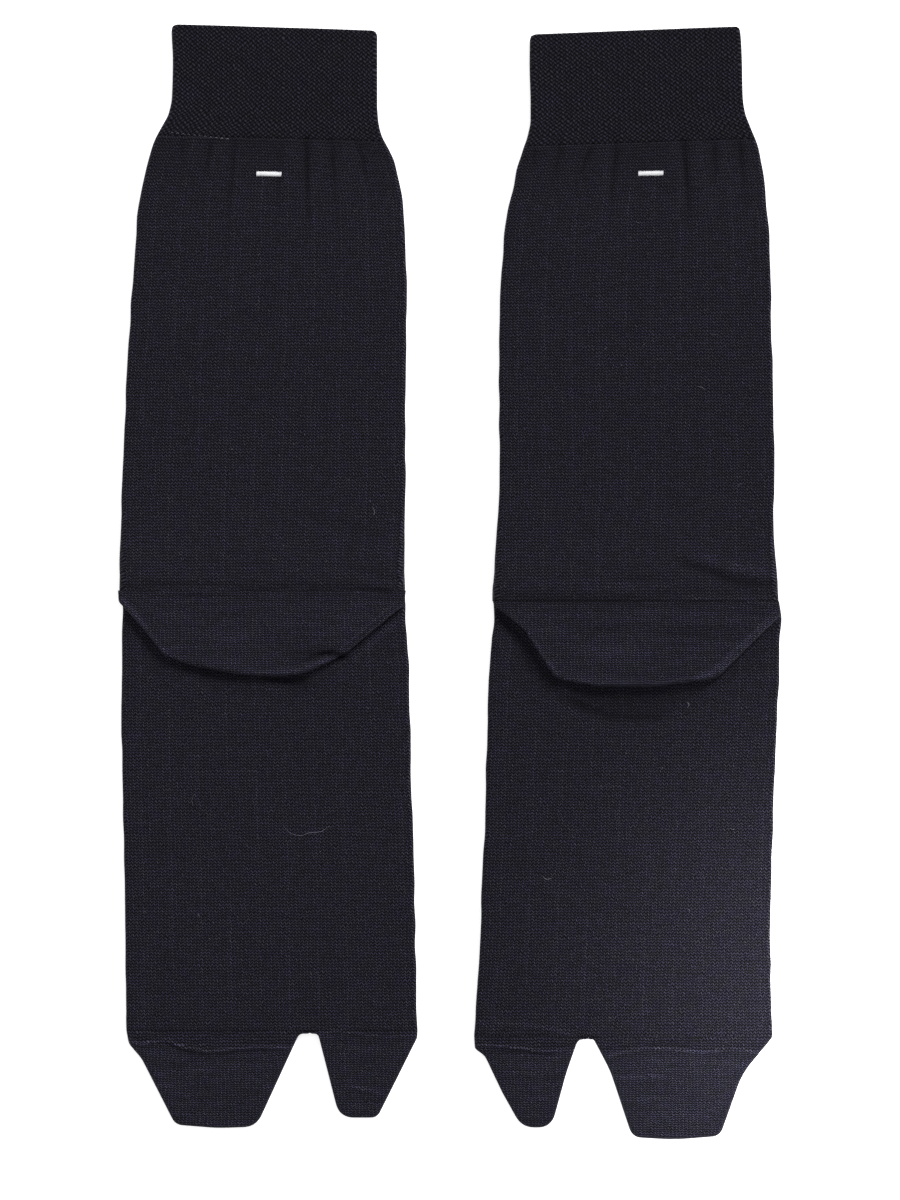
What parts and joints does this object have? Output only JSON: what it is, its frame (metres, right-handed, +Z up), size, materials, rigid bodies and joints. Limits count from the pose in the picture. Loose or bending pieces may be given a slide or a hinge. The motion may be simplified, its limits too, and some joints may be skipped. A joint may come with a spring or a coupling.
{
  "type": "pair of tabi socks",
  "caption": "Knitted split-toe crew socks, left and right, laid flat with their soles up: ribbed cuffs, heel pockets folded down over the soles, and big toes apart from the other toes.",
  "frame": {"origin": "on the table, at the middle of the outline that the two socks cover", "axes": "+Y up the legs towards the cuffs, +X from the left sock to the right sock, +Z up from the table, towards the soles"},
  "size_m": [0.2165, 0.3639, 0.0059],
  "materials": {
    "cuff_rib": "matte fine rib knit, navy",
    "leg_knit": "matte fine plain knit, navy",
    "reinforced_knit": "matte dense plain knit, slightly lighter navy",
    "white_thread": "satin embroidery thread, white"
  },
  "bodies": {
    "root": {"left_cuff": "cuff_rib", "left_leg": "leg_knit", "left_heel": "reinforced_knit", "left_foot": "leg_knit", "left_four_toe": "reinforced_knit", "left_big_toe": "reinforced_knit", "left_bar_tack": "white_thread", "right_cuff": "cuff_rib", "right_leg": "leg_knit", "right_heel": "reinforced_knit", "right_foot": "leg_knit", "right_four_toe": "reinforced_knit", "right_big_toe": "reinforced_knit", "right_bar_tack": "white_thread"}
  },
  "joints": []
}
